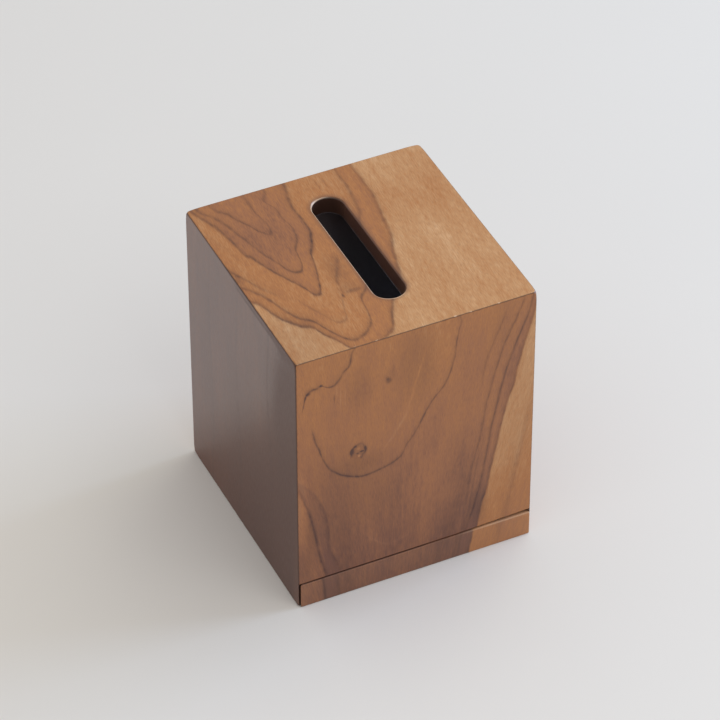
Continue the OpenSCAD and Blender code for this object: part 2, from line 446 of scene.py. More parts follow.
FRONT_SPOTS = (
    # The pin knot
    Spot(33.8, 67.5, 7.0, 7.5, 0.16),
    Spot(30.0, 66.6, 1.8, 3.0, 0.6),
    Spot(31.6, 63.8, 1.6, 1.3, 0.45),
    Spot(37.2, 66.2, 1.3, 2.2, 0.5),
    Spot(35.4, 67.9, 2.2, 1.0, 0.65),
    Spot(33.0, 68.6, 1.4, 1.0, 0.5),
    Spot(34.0, 70.4, 1.4, 1.3, -0.7),
    Spot(33.4, 65.6, 1.6, 1.3, -0.3),
    # A grub spot with its short tail
    Spot(49.9, 27.6, 2.6, 2.8, 0.5),
    Spot(49.2, 26.0, 1.4, 2.2, 0.25),
    Spot(50.5, 25.0, 5.0, 8.0, 0.15),
    Spot(52.5, 21.5, 1.0, 5.0, 0.15),
    # Soft dark patches
    Spot(34.0, 27.0, 12.0, 22.0, 0.16),
    Spot(20.6, 28.5, 0.7, 5.0, 0.35),
    Spot(13.8, 17.6, 1.8, 1.2, 0.5),
    Spot(6.9, 20.8, 1.7, 1.5, 0.55),
    Spot(5.4, 22.8, 1.1, 2.0, 0.4),
    Spot(16.7, 155.0, 1.0, 10.0, 0.45),
    # Pale streaks beside them
    Spot(24.0, 30.0, 0.7, 12.0, -0.25),
    Spot(26.6, 30.0, 0.7, 11.0, -0.2),
    Spot(21.9, 24.0, 0.6, 8.0, -0.2),
    # Broad patches of darker wood; those near the foot are also painted shade
    Spot(60.0, 150.0, 60.0, 30.0, 0.1),
    Spot(100.0, 128.0, 9.0, 20.0, 0.35),
    Spot(4.0, 122.0, 9.0, 40.0, 0.3),
    Spot(24.0, 94.0, 42.0, 50.0, 0.26),
    Spot(36.0, 76.0, 22.0, 10.0, 0.16),
    Spot(50.0, 106.0, 14.0, 28.0, 0.12),
    Spot(90.0, 96.0, 14.0, 40.0, 0.12),
    Spot(65.0, 22.0, 18.0, 40.0, 0.22),
    Spot(112.0, 12.0, 12.0, 30.0, 0.1),
    # A paler band along the left edge
    Spot(2.0, 100.0, 7.0, 44.0, -0.4),
    # A bright streak in the sapwood
    Spot(125.5, 62.5, 0.7, 3.0, -0.4),
)

LEFT_SPOTS = (
    # Dark wood, with painted shade that makes it darkest towards the foot and the front
    Spot(66.0, 80.0, 260.0, 260.0, 0.65),
    Spot(100.0, 150.0, 90.0, 120.0, 0.3),
    Spot(132.0, 40.0, 50.0, 110.0, 0.45),
    # Oil along the top edge, and the end of the mitre that sanding brought out below it
    Spot(95.0, 0.0, 80.0, 2.4, 1.0),
    Spot(124.0, 0.0, 34.0, 8.0, 0.6),
    Spot(86.0, 3.3, 36.0, 1.2, 1.4),
)

TOP_SPOTS = (
    # The brown wedge between two growth lines at the left edge
    Spot(1.5, 60.5, 4.0, 8.0, 0.3),
    Spot(2.0, 118.0, 40.0, 40.0, 0.17),
    # A branch of the figure that runs to the slot
    Spot(50.0, 92.4, 7.5, 2.4, 0.3),
    Spot(48.5, 90.0, 10.0, 7.0, 0.2),
    Spot(49.0, 74.0, 9.0, 20.0, 0.18),
    Spot(43.4, 94.2, 0.9, 2.6, 0.5),
    Spot(32.0, 38.5, 1.0, 5.0, 0.25),
    Spot(69.0, 9.0, 0.9, 8.0, 0.2),
    Spot(73.0, 9.0, 0.9, 8.0, 0.2),
)


# Nodes


def add(tree, kind, *inputs, sockets=None, **settings):
    """Adds a node with its settings, and links its sockets to nodes or sets their values."""
    node = tree.nodes.new(kind)
    for name, value in settings.items():
        setattr(node, name, value)
    for key, source in [*enumerate(inputs), *(sockets or {}).items()]:
        if isinstance(source, bpy.types.Node):
            source = source.outputs[0]
        if isinstance(source, bpy.types.NodeSocket):
            tree.links.new(source, node.inputs[key])
        elif source is not None:
            node.inputs[key].default_value = source
    return node


def draw(curve, points):
    """Lays a curve node's curve through points from 0 to 1, level before and after them."""
    curve.mapping.extend = "HORIZONTAL"
    line = curve.mapping.curves[0]
    points = sorted(points)
    for place, (x, y) in enumerate(points):
        if place < len(line.points):
            line.points[place].location = (x, y)
        else:
            line.points.new(x, y)
    for point in line.points:
        point.handle_type = "AUTO_CLAMPED"
    curve.mapping.update()
    return curve


def board_place(tree, board, shift=0.0):
    """Millimetres across the board, along its grain, and in from its face."""
    coordinate = add(tree, "ShaderNodeTexCoord")
    from_corner = add(
        tree, "ShaderNodeVectorMath", coordinate.outputs["Object"], board.corner,
        operation="SUBTRACT")
    across, along, into = [
        add(tree, "ShaderNodeVectorMath", from_corner, direction / MM,
            operation="DOT_PRODUCT").outputs["Value"]
        for direction in (board.across, board.along, board.into)
    ]
    if shift:
        across = add(tree, "ShaderNodeMath", across, shift, operation="ADD")
    return across, along, into


# Darkness across a growth line, by mm from it: the wood darkens slowly towards the line from
# inside, and is clear again right behind it
LINE_SPAN = 12.0
LINE_PROFILE = ((-6.0, 0.0), (-4.0, 0.05), (-2.5, 0.14), (-1.4, 0.32), (-0.7, 0.66), (0.0, 1.0),
                (0.5, 0.72), (1.0, 0.32), (1.6, 0.09), (2.4, 0.0), (6.0, 0.0))


def ring_measure(tree, rings, across, along):
    """Where a place lies on its growth line, how far out it is, and what stretches that."""
    if rings.heart is None:
        turn = add(tree, "ShaderNodeMath", along, 1 / REACH, operation="MULTIPLY")
        return turn, across, None
    heart_across, heart_along = rings.heart
    side = add(tree, "ShaderNodeMath", across, heart_across, operation="SUBTRACT")
    down = add(tree, "ShaderNodeMath", along, heart_along, operation="SUBTRACT")
    down = add(tree, "ShaderNodeMath", down, rings.stretch, operation="DIVIDE")
    angle = add(tree, "ShaderNodeMath", side, down, operation="ARCTAN2")
    turn = add(tree, "ShaderNodeMath", angle, 1 / (2 * math.pi), 0.5, operation="MULTIPLY_ADD")
    flat = add(tree, "ShaderNodeCombineXYZ", side, down)
    out = add(tree, "ShaderNodeVectorMath", flat, operation="LENGTH").outputs["Value"]
    # A step outwards covers more of the board where the arch is stretched
    lean = add(tree, "ShaderNodeMath", angle, operation="COSINE")
    lean = add(tree, "ShaderNodeMath", lean, 2.0, operation="POWER")
    spread = add(
        tree, "ShaderNodeMapRange", lean,
        sockets={"To Min": 1.0, "To Max": 0.75 * rings.stretch})
    return turn, out, spread


def ring_point(rings, across, along):
    """The same turn and distance for a point of a growth line."""
    if rings.heart is None:
        return along / REACH, across
    side = across - rings.heart[0]
    down = (along - rings.heart[1]) / rings.stretch
    return math.atan2(side, down) / (2 * math.pi) + 0.5, math.hypot(side, down)


def growth_rings(tree, families, across, along, tones, wear):
    """The darkness of all growth lines together, and the tone of the wood between them."""
    dark = None
    length_share = add(tree, "ShaderNodeMath", along, 1 / REACH, operation="MULTIPLY")
    tone = draw(
        add(tree, "ShaderNodeFloatCurve", None, length_share),
        [(at / REACH, tone_at) for at, tone_at in tones])
    for rings in families:
        turn, out, spread = ring_measure(tree, rings, across, along)
        for ring in rings.lines:
            places = [(*ring_point(rings, u, v), d) for u, v, d in ring.points]
            radius = draw(
                add(tree, "ShaderNodeFloatCurve", None, turn),
                [(turn_at, out_at / REACH) for turn_at, out_at, _ in places])
            strength = draw(
                add(tree, "ShaderNodeFloatCurve", None, turn),
                [(turn_at, 0.5 + d / 2) for turn_at, _, d in places])
            line_out = add(tree, "ShaderNodeMath", radius, REACH, operation="MULTIPLY")
            beyond = add(tree, "ShaderNodeMath", out, line_out, operation="SUBTRACT")
            if spread is not None:
                beyond = add(tree, "ShaderNodeMath", beyond, spread, operation="MULTIPLY")
            profile_at = add(
                tree, "ShaderNodeMath", beyond, LINE_WIDTH / ring.width / LINE_SPAN, 0.5,
                operation="MULTIPLY_ADD", use_clamp=True)
            profile = draw(
                add(tree, "ShaderNodeFloatCurve", None, profile_at),
                [(0.5 + away / LINE_SPAN, depth) for away, depth in LINE_PROFILE])
            signed = add(tree, "ShaderNodeMath", strength, 2.0, -1.0, operation="MULTIPLY_ADD")
            signed = add(tree, "ShaderNodeMath", signed, wear, operation="MULTIPLY")
            dark = add(
                tree, "ShaderNodeMath", profile, signed, 0.0 if dark is None else dark,
                operation="MULTIPLY_ADD")
            if ring.tone:
                tone_step = add(
                    tree, "ShaderNodeMapRange", beyond, interpolation_type="SMOOTHSTEP",
                    sockets={"From Min": -0.8, "From Max": 1.0, "To Max": ring.tone})
                tone = add(tree, "ShaderNodeMath", tone_step, tone, operation="ADD")
    return dark, tone


def spot_marks(tree, spots, across, along, dark):
    """Adds the knot and the other small marks to the darkness of the growth lines."""
    for spot in spots:
        side = add(
            tree, "ShaderNodeMath", across, 1 / spot.width, -spot.across / spot.width,
            operation="MULTIPLY_ADD")
        down = add(
            tree, "ShaderNodeMath", along, 1 / spot.length, -spot.along / spot.length,
            operation="MULTIPLY_ADD")
        flat = add(tree, "ShaderNodeCombineXYZ", side, down)
        away = add(tree, "ShaderNodeVectorMath", flat, operation="LENGTH").outputs["Value"]
        mark = add(
            tree, "ShaderNodeMapRange", away, interpolation_type="SMOOTHERSTEP",
            sockets={"From Min": 0.1, "From Max": 1.0, "To Min": spot.dark, "To Max": 0.0})
        dark = add(tree, "ShaderNodeMath", dark, mark, operation="ADD")
    return dark


class Grain(NamedTuple):
    """Noise drawn out along the fibres: its width and length in mm, and where it starts."""

    width: float
    length: float
    seed: float
    detail: float = 2.0


# The fibres wander a little and fret around that, and so do the lines that follow them
WANDER = Grain(9.0, 22.0, 3.0)
FRET = Grain(2.2, 4.0, 9.0)
# Oil gathers unevenly in a growth line
POOL = Grain(3.5, 6.0, 17.0)
# Clouds of colour, then blotches, bands of fibres and single fibres
CLOUD = Grain(16.0, 55.0, 5.0)
BLOTCH = Grain(3.0, 12.0, 21.0)
BAND = Grain(2.2, 50.0, 1.0)
FIBRE = Grain(0.6, 4.5, 7.0)
# Pores are cut open along the grain: fine dark dashes, drawn 0.3 mm wide so they show
PORE = Grain(0.3, 3.0, 11.0, 1.0)
# Small chips along the mitres
CHIP = Grain(3.0, 3.0, 13.0)

# How far the noises move the figure sideways, in mm
WANDER_REACH = 1.6
FRET_REACH = 0.7
# How much further in from the face the figure lies across, for each mm
FIGURE_DRIFT = 0.25
# How much each noise moves the tone of the wood, and what all of the tone is scaled by
CLOUD_TONE = 0.4
BLOTCH_TONE = 0.34
BAND_TONE = 0.28
FIBRE_TONE = 0.6
TONE_SCALE = 0.8
# Darkness of the pores, and how deep they lie against the height of a fibre
PORE_DARK = 0.25
PORE_DEPTH = -1.2
# How much rougher the roughest fibre is than the smoothest
FIBRE_ROUGHNESS = 0.16

# Darker band outside the slot: mm from the slot where it starts and ends, and its strength
SLOT_BAND_FROM = 0.8
SLOT_BAND_TO = 3.0
SLOT_BAND_STRENGTH = 0.45
# Pale line around the slot, worn wood with painted highlight where the light from the right
# falls on its left side: its width in mm along the sides and at the near end, how it fades, how
# deep it goes, and where across the board it stops
RIM_WIDTH = 0.35
RIM_WIDTH_NEAR = 1.0
RIM_GROWS_OVER = 10
RIM_FADE = 0.3
RIM_STRENGTH = 0.8
RIM_DEPTH = (0.9, 1.5)
RIM_STOPS = (68.0, 73.0)
# Painted highlight on the strip's upper edge: its depth in mm, where across the board it comes
# in, its strength, and how much painted light makes the strip paler all over
STRIP_EDGE = (0.5, 0.9)
STRIP_EDGE_STARTS = (90.0, 110.0)
STRIP_EDGE_STRENGTH = 0.3
STRIP_PAINTED_LIGHT = 0.03
# Cut wood: its strength, and the mm past the sanding over which it comes in
CUT_STRENGTH = 0.85
CUT_FADE = 0.5
# Darkening of the slot's walls at its back end: its strength, and the mm along the board where
# it fades
SLOT_END_STRENGTH = 0.75
SLOT_END_FADE = 8
# Inner faces, painted pale as light inside the case: how deep in mm they lie, and how the
# paleness grows on them down the board
INNER_DEPTH = (9.6, 9.9)
INNER_LIGHT_ALONG = (25.0, 95.0)
INNER_LIGHT_STRENGTH = (0.2, 0.95)
# Glue line: its strength, and its greatest width in mm
GLUE_STRENGTH = 0.85
GLUE_WIDTH = 1.3
# Chips: where the noise makes one, their strength, and the mm from the edge where they start
CHIP_NOISE = (0.34, 0.4)
CHIP_STRENGTH = 0.6
CHIP_EDGE = (1.2, 0.8)
# Wax, thinned along the mirrored edge of the floor's shadow as a painted reflection: how its
# slope runs down the board, and where on that slope it thins out, in mm
MIRRORED_SHADOW_SLOPE = 1.07
MIRRORED_SHADOW_EDGE = (138.0, 182.0)
# Darkness of the marks that the wax didn't cover
WAX_MARKS = (0.85, 1.0)


class Finish(NamedTuple):
    """How a board was cut, sanded and oiled, where it differs from the others.

    joints names its glued edges: low and high across it, start and end along it.
    slant is how far its fibres lean across the board for each mm along it.
    sanded gives two places across the board in mm, and how deep the sanding went there; where
    it is set shallow, the cut colour there is painted shade.
    wax is the weight of the wax on its face, thinned as a painted reflection, and streaks the
    strength of its fibres.
    routed_to is how far along in mm the walls of its slot are darkened, if it has a slot.
    fan is the place that its fibres draw together towards, across and along in mm.
    eased_top is where along it in mm the strip's painted highlight lies, if it is the strip.
    shift is how far its figure is moved, in mm across.
    """

    joints: tuple = ()
    slant: float = 0.0
    sanded: tuple = ((0, 0.5), (130, 0.5))
    wax: float = 0.0
    streaks: float = 1.0
    routed_to: float = 0.0
    fan: tuple = None
    eased_top: float = 0.0
    shift: float = 0.0


# The standing boards are glued at both sides and at the top, and sanded deep
STANDING_JOINTS = ("low", "high", "start")
SANDED_DEEP = ((0, 3), (130, 3))


def grain_noise(tree, place, grain):
    """Noise drawn out along the grain."""
    across, along, into = place
    scaled = [
        add(tree, "ShaderNodeMath", across, 1 / grain.width, grain.seed,
            operation="MULTIPLY_ADD"),
        add(tree, "ShaderNodeMath", along, 1 / grain.length, grain.seed,
            operation="MULTIPLY_ADD"),
        add(tree, "ShaderNodeMath", into, 1 / (3 * grain.width), operation="MULTIPLY"),
    ]
    vector = add(tree, "ShaderNodeCombineXYZ", *scaled)
    return add(
        tree, "ShaderNodeTexNoise", vector, sockets={"Scale": 1.0, "Detail": grain.detail})


def fibre_place(tree, place, finish):
    """A place on the board, measured across its leaning and narrowing fibres."""
    across, along, into = place
    leaning = add(tree, "ShaderNodeMath", along, finish.slant, across, operation="MULTIPLY_ADD")
    if finish.fan:
        fan_across, fan_along = finish.fan
        narrow = add(
            tree, "ShaderNodeMapRange", along,
            sockets={"From Max": fan_along, "To Min": 1.0, "To Max": 0.0})
        leaning = add(tree, "ShaderNodeMath", leaning, fan_across, operation="SUBTRACT")
        leaning = add(tree, "ShaderNodeMath", leaning, narrow, operation="DIVIDE")
    return leaning, along, into


def wood_colours(tree, tone, settings):
    """The colours of teak from heartwood to its palest fibres, by tone."""
    ramp = add(tree, "ShaderNodeValToRGB", tone)
    stops = ((0.0, settings.heart), (0.26, settings.brown), (0.48, settings.golden),
             (0.76, settings.sapwood), (1.0, settings.pale))
    for stop, _ in stops[1:-1]:
        ramp.color_ramp.elements.new(stop)
    for element, (stop, colour) in zip(ramp.color_ramp.elements, stops):
        element.position = stop
        element.color = colour
    return ramp


def slot_rim_layers(tree, place, settings):
    """A darker band outside the slot, and a pale rim on its left: worn wood with painted
    highlight where the light from the right falls.
    """
    across, along, into = place
    rim = slot_distance(tree, across, along)
    # A darker band around the slot, laid with the cut colour
    oiled = add(
        tree, "ShaderNodeMapRange", rim,
        sockets={"From Min": SLOT_BAND_FROM, "From Max": SLOT_BAND_TO, "To Min": SLOT_BAND_STRENGTH,
                 "To Max": 0.0})
    # At the near end the pale line reaches out onto the face
    _, middle_along, _, half_along = slot_span()
    slot_end = middle_along + half_along
    reach = add(
        tree, "ShaderNodeMapRange", along,
        sockets={"From Min": slot_end - RIM_GROWS_OVER, "From Max": slot_end,
                 "To Min": RIM_WIDTH, "To Max": RIM_WIDTH_NEAR})
    faded = add(tree, "ShaderNodeMath", reach, RIM_FADE, operation="ADD")
    highlight_and_wear = add(
        tree, "ShaderNodeMapRange", rim,
        sockets={"From Min": reach, "From Max": faded, "To Min": RIM_STRENGTH, "To Max": 0.0})
    # Only the left side of the rim keeps the pale line, as painted highlight where the light
    # from the right falls on it
    for measure, (first, last) in ((into, RIM_DEPTH), (across, RIM_STOPS)):
        within = add(
            tree, "ShaderNodeMapRange", measure,
            sockets={"From Min": first, "From Max": last, "To Min": 1.0, "To Max": 0.0})
        highlight_and_wear = add(tree, "ShaderNodeMath", highlight_and_wear, within, operation="MULTIPLY")
    return [(oiled, settings.cut), (highlight_and_wear, settings.pale_wear_and_highlight)]


def strip_edge_layers(tree, place, top, settings):
    """Painted highlight on the strip's upper edge under the opening seam, and painted light
    that makes all of the strip a little paler.
    """
    across, along, _ = place
    first, last = STRIP_EDGE
    highlight_and_wear = add(
        tree, "ShaderNodeMapRange", along,
        sockets={"From Min": top + first, "From Max": top + last,
                 "To Min": STRIP_EDGE_STRENGTH, "To Max": 0.0})
    starts, full = STRIP_EDGE_STARTS
    rightwards = add(
        tree, "ShaderNodeMapRange", across, sockets={"From Min": starts, "From Max": full})
    highlight_and_wear = add(
        tree, "ShaderNodeMath", highlight_and_wear, rightwards, STRIP_PAINTED_LIGHT, operation="MULTIPLY_ADD")
    return [(highlight_and_wear, settings.pale_wear_and_highlight)]


def cut_layers(tree, place, finish, settings):
    """Sawn and routed faces lie deeper than the sanding went, and the oil left them dark; where
    the sanding depth is set shallow, the same colour is painted shade.
    """
    across, along, into = place
    (left, left_depth), (right, right_depth) = finish.sanded
    depth = add(
        tree, "ShaderNodeMapRange", across,
        sockets={"From Min": left, "From Max": right, "To Min": left_depth,
                 "To Max": right_depth})
    deeper = add(tree, "ShaderNodeMath", into, depth, operation="SUBTRACT")
    cut = add(
        tree, "ShaderNodeMapRange", deeper,
        sockets={"From Max": CUT_FADE, "To Max": CUT_STRENGTH})
    layers = [(cut, settings.cut)]
    if finish.routed_to:
        # The slot's walls are darker towards its back end
        slot_end_dark = add(
            tree, "ShaderNodeMapRange", along,
            sockets={"From Min": finish.routed_to, "From Max": finish.routed_to + SLOT_END_FADE,
                     "To Min": SLOT_END_STRENGTH, "To Max": 0.0})
        slot_end_dark = add(tree, "ShaderNodeMath", slot_end_dark, cut, operation="MULTIPLY")
        layers.append((slot_end_dark, settings.slot_end_dark))
    # Inside the case a pale bluish grey is painted light over the bare wood, paler further down
    shallowest, deepest = INNER_DEPTH
    bare = add(
        tree, "ShaderNodeMapRange", into,
        sockets={"From Min": shallowest, "From Max": deepest})
    dust_from, dust_to = INNER_LIGHT_ALONG
    little, much = INNER_LIGHT_STRENGTH
    inner_light = add(
        tree, "ShaderNodeMapRange", along,
        sockets={"From Min": dust_from, "From Max": dust_to, "To Min": little, "To Max": much})
    bare = add(tree, "ShaderNodeMath", bare, inner_light, operation="MULTIPLY")
    layers.append((bare, settings.inside))
    return layers


def joint_layers(tree, board, place, joints, settings):
    """Dark glue line in the mitres, with small pale chips along the top's front edge."""
    from_edge = edge_distance(tree, board, place, joints)
    chip = grain_noise(tree, place, CHIP)
    glue_width = add(tree, "ShaderNodeMath", chip, GLUE_WIDTH, operation="MULTIPLY")
    gap = add(
        tree, "ShaderNodeMapRange", from_edge,
        sockets={"From Max": glue_width, "To Min": GLUE_STRENGTH, "To Max": 0.0})
    layers = [(gap, settings.glue)]
    if "end" in joints:
        first, last = CHIP_NOISE
        chipped = add(
            tree, "ShaderNodeMapRange", chip,
            sockets={"From Min": first, "From Max": last, "To Min": CHIP_STRENGTH,
                     "To Max": 0.0})
        starts, full = CHIP_EDGE
        end = joint_length(board)
        at_end = add(
            tree, "ShaderNodeMapRange", place[1],
            sockets={"From Min": end - starts, "From Max": end - full})
        at_end = add(tree, "ShaderNodeMath", at_end, chipped, operation="MULTIPLY")
        layers.append((at_end, settings.pale_wear_and_highlight))
    return layers


def wax_and_painted_reflection(tree, place, darken, weight):
    """Wax thinned towards the foot of the board's far side along the mirrored edge of the
    floor's shadow, a painted reflection, and off its darkest marks.
    """
    across, along, _ = place
    slope = add(tree, "ShaderNodeMath", along, MIRRORED_SHADOW_SLOPE, across, operation="MULTIPLY_ADD")
    thick, thin = MIRRORED_SHADOW_EDGE
    wax = add(
        tree, "ShaderNodeMapRange", slope, interpolation_type="SMOOTHSTEP",
        sockets={"From Min": thick, "From Max": thin, "To Min": weight, "To Max": 0.0})
    first, last = WAX_MARKS
    unmarked = add(
        tree, "ShaderNodeMapRange", darken,
        sockets={"From Min": first, "From Max": last, "To Min": 1.0, "To Max": 0.0})
    return add(tree, "ShaderNodeMath", wax, unmarked, operation="MULTIPLY")


def teak(name, board, families, tones, spots=(), finish=Finish()):
    """Plain-sawn teak, sanded fine and oiled: brown and golden figure with a satin sheen."""
    settings = bpy.context.scene.tissue_box_teak
    material = bpy.data.materials.new(name)
    material.use_nodes = True
    tree = material.node_tree
    tree.nodes.clear()
    across, along, into = place = board_place(tree, board, finish.shift)

    # Growth lines and marks, on a board whose fibres wander
    sway = add(
        tree, "ShaderNodeMath", grain_noise(tree, place, WANDER), WANDER_REACH,
        -WANDER_REACH / 2, operation="MULTIPLY_ADD")
    sway = add(
        tree, "ShaderNodeMath", grain_noise(tree, place, FRET), FRET_REACH * finish.streaks,
        sway, operation="MULTIPLY_ADD")
    drift = add(tree, "ShaderNodeMath", into, FIGURE_DRIFT, sway, operation="MULTIPLY_ADD")
    figure_across = add(tree, "ShaderNodeMath", across, drift, operation="ADD")
    wear = add(
        tree, "ShaderNodeMapRange", grain_noise(tree, place, POOL),
        sockets={"From Min": 0.3, "From Max": 0.65, "To Min": 0.5, "To Max": 1.0})
    dark, tone = growth_rings(tree, families, figure_across, along, tones, wear)
    dark = spot_marks(tree, spots, figure_across, along, dark)

    # Tone of the fibres, with the middle of all the noises taken off again
    fibres = fibre_place(tree, place, finish)
    fibre = grain_noise(tree, fibres, FIBRE)
    noises = (
        (grain_noise(tree, place, CLOUD), CLOUD_TONE),
        (grain_noise(tree, fibres, BLOTCH), BLOTCH_TONE * finish.streaks),
        (grain_noise(tree, fibres, BAND), BAND_TONE * finish.streaks),
        (fibre, FIBRE_TONE * finish.streaks),
    )
    for noise, strength in noises:
        tone = add(tree, "ShaderNodeMath", noise, strength, tone, operation="MULTIPLY_ADD")
    middle = sum(strength for _, strength in noises) / 2
    tone = add(
        tree, "ShaderNodeMath", tone, TONE_SCALE, -TONE_SCALE * middle,
        operation="MULTIPLY_ADD")

    pores = add(
        tree, "ShaderNodeMapRange", grain_noise(tree, fibres, PORE),
        sockets={"From Min": 0.45, "From Max": 0.8, "To Max": PORE_DARK})
    marked = add(tree, "ShaderNodeMath", dark, pores, operation="ADD")
    darken = add(tree, "ShaderNodeMath", marked, 0.0, operation="MAXIMUM", use_clamp=True)
    lighten = add(tree, "ShaderNodeMath", marked, -1.0, operation="MULTIPLY", use_clamp=True)

    # What lies over the plain wood, each as an amount and a colour, from below upwards
    layers = [(darken, settings.line), (lighten, settings.sapwood)]
    if finish.routed_to:
        layers += slot_rim_layers(tree, place, settings)
    if finish.eased_top:
        layers += strip_edge_layers(tree, place, finish.eased_top, settings)
    layers += cut_layers(tree, place, finish, settings)
    if finish.joints:
        layers += joint_layers(tree, board, place, finish.joints, settings)
    wood = wood_colours(tree, tone, settings)
    for amount, colour in layers:
        wood = add(
            tree, "ShaderNodeMix", data_type="RGBA",
            sockets={0: amount, 6: wood, 7: colour}).outputs[2]

    rough = add(
        tree, "ShaderNodeMath", fibre, FIBRE_ROUGHNESS,
        settings.roughness - FIBRE_ROUGHNESS / 2, operation="MULTIPLY_ADD")
    relief = add(tree, "ShaderNodeMath", pores, PORE_DEPTH, fibre, operation="MULTIPLY_ADD")
    bump = add(
        tree, "ShaderNodeBump",
        sockets={"Strength": 0.25, "Distance": 0.05 * MM, "Height": relief})
    shader = add(
        tree, "ShaderNodeBsdfPrincipled",
        sockets={
            "Base Color": wood,
            "Roughness": rough,
            "IOR": 1.5,
            "Coat Weight": wax_and_painted_reflection(tree, place, darken, finish.wax) if finish.wax else 0.0,
            "Coat Roughness": 0.18,
            "Normal": bump,
        })
    add(tree, "ShaderNodeOutputMaterial", shader)
    return material


def edge_distance(tree, board, place, joints):
    """How far in from its glued edges a place on a board's face lies, in mm."""
    across, along, into = place
    edges = {
        "low": across,
        "high": add(tree, "ShaderNodeMath", joint_width(board), across, operation="SUBTRACT"),
        "start": along,
        "end": add(tree, "ShaderNodeMath", joint_length(board), along, operation="SUBTRACT"),
    }
    nearest = edges[joints[0]]
    for joint in joints[1:]:
        nearest = add(tree, "ShaderNodeMath", nearest, edges[joint], operation="MINIMUM")
    return add(tree, "ShaderNodeMath", nearest, into, operation="SUBTRACT")


def slot_distance(tree, across, along):
    """How far outside the slot's straight walls and round ends a place lies, in mm."""
    middle_across, middle_along, half_across, half_along = slot_span()
    side = add(tree, "ShaderNodeMath", across, middle_across, operation="SUBTRACT")
    down = add(tree, "ShaderNodeMath", along, middle_along, operation="SUBTRACT")
    down = add(tree, "ShaderNodeMath", down, operation="ABSOLUTE")
    past_end = add(
        tree, "ShaderNodeMath", down, half_along - half_across, operation="SUBTRACT")
    past_end = add(tree, "ShaderNodeMath", past_end, 0.0, operation="MAXIMUM")
    flat = add(tree, "ShaderNodeCombineXYZ", side, past_end)
    out = add(tree, "ShaderNodeVectorMath", flat, operation="LENGTH").outputs["Value"]
    return add(tree, "ShaderNodeMath", out, half_across, operation="SUBTRACT")


def joint_width(board):
    """Width in mm of the case across a board."""
    return abs(CASE_SIZE.dot(board.across)) / MM


def joint_length(board):
    """Size in mm of the case along a board's grain."""
    return abs(CASE_SIZE.dot(board.along)) / MM


# Meshes


# Distances in from each outer face where a board gets an edge loop, in mm
LOOPS = (0.2, 0.7, 1.1, 1.6, 2.2, 3.2, 5.0, 8.0)
# Distance under which two points count as one
WELD = 0.001 * MM
# Edges that turn more than this stay sharp
SHARP_ANGLE = math.radians(32)
# Faces that turn less than this count as one
FLAT_ANGLE = math.radians(0.5)


def round_over(mesh, low, high, arris, corner, corner_run):
    """Rounds the outer edges of a box-shaped mesh, and its corners more than its edges."""
    form = bmesh.new()
    form.from_mesh(mesh)
    bmesh.ops.remove_doubles(form, verts=form.verts, dist=WELD)
    bmesh.ops.dissolve_limit(
        form, angle_limit=FLAT_ANGLE, verts=form.verts, edges=form.edges)
    for axis, direction in enumerate((X_AXIS, Y_AXIS, Z_AXIS)):
        for depth in LOOPS:
            for level in (low[axis] + depth * MM, high[axis] - depth * MM):
                bmesh.ops.bisect_plane(
                    form, geom=[*form.verts, *form.edges, *form.faces], dist=WELD,
                    plane_co=direction * level, plane_no=direction)
    for vert in form.verts:
        depths = [min(vert.co[i] - low[i], high[i] - vert.co[i]) for i in range(3)]
        near = 1 - min(max(depths) / corner_run, 1)
        radius = arris + (corner - arris) * near * near
        centre = Vector([
            min(max(vert.co[i], low[i] + radius), high[i] - radius) for i in range(3)])
        away = vert.co - centre
        if away.length > radius:
            vert.co = centre + away.normalized() * radius
    form.normal_update()
    form.to_mesh(mesh)
    form.free()


def dressed_board(node, name, material, edges):
    """A board with rounded edges that stands for its solid."""
    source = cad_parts[node]
    mesh = source.data.copy()
    mesh.name = name
    if node in CASE_BOARDS:
        round_over(mesh, CASE_LOW, CASE_HIGH, edges.arris, edges.corner, edges.corner_run)
    else:
        low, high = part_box(node)
        round_over(mesh, low, high, edges.arris, edges.strip_corner, edges.corner_run)
    mesh.materials.clear()
    mesh.materials.append(material)
    mesh.polygons.foreach_set("use_smooth", [True] * len(mesh.polygons))
    mesh.set_sharp_from_angle(angle=SHARP_ANGLE)
    piece = bpy.data.objects.new(name, mesh)
    bpy.context.scene.collection.objects.link(piece)
    normals = piece.modifiers.new("Weighted normals", "WEIGHTED_NORMAL")
    normals.keep_sharp = True
    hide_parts(node)
    return piece


# Stage


# The photograph's view, worked out from the corners of the box
VIEW_AZIMUTH = -25.26
VIEW_ELEVATION = 40.36
VIEW_ROLL = -0.11
VIEW_DISTANCE = 2.111
VIEW_LENS = 208.5
VIEW_ASIDE = 0.27 * MM
VIEW_ABOVE = 7.04 * MM

# Half the size of the floor, and its cells along a side
FLOOR_REACH = 8.0
FLOOR_CELLS = 8
ROOM_COLOUR = "#fffaf5"


class Lamp(NamedTuple):
    """A square light: its direction in degrees, its distance and size in m, its colour."""

    name: str
    azimuth: float
    elevation: float
    distance: float
    size: float
    colour: str


LAMPS = (
    Lamp("window", 85, 15, 2.3, 1.2, "#bad7ff"),
    Lamp("skylight", 110, 55, 2.3, 1.6, "#fffce6"),
    Lamp("card", 10, 55, 0.85, 0.45, "#fffdfa"),
)


def outwards(azimuth, elevation):
    """The direction from the box towards an azimuth and elevation in degrees."""
    turn = math.radians(azimuth)
    rise = math.radians(elevation)
    return Vector((
        math.sin(turn) * math.cos(rise), -math.cos(turn) * math.cos(rise), math.sin(rise)))


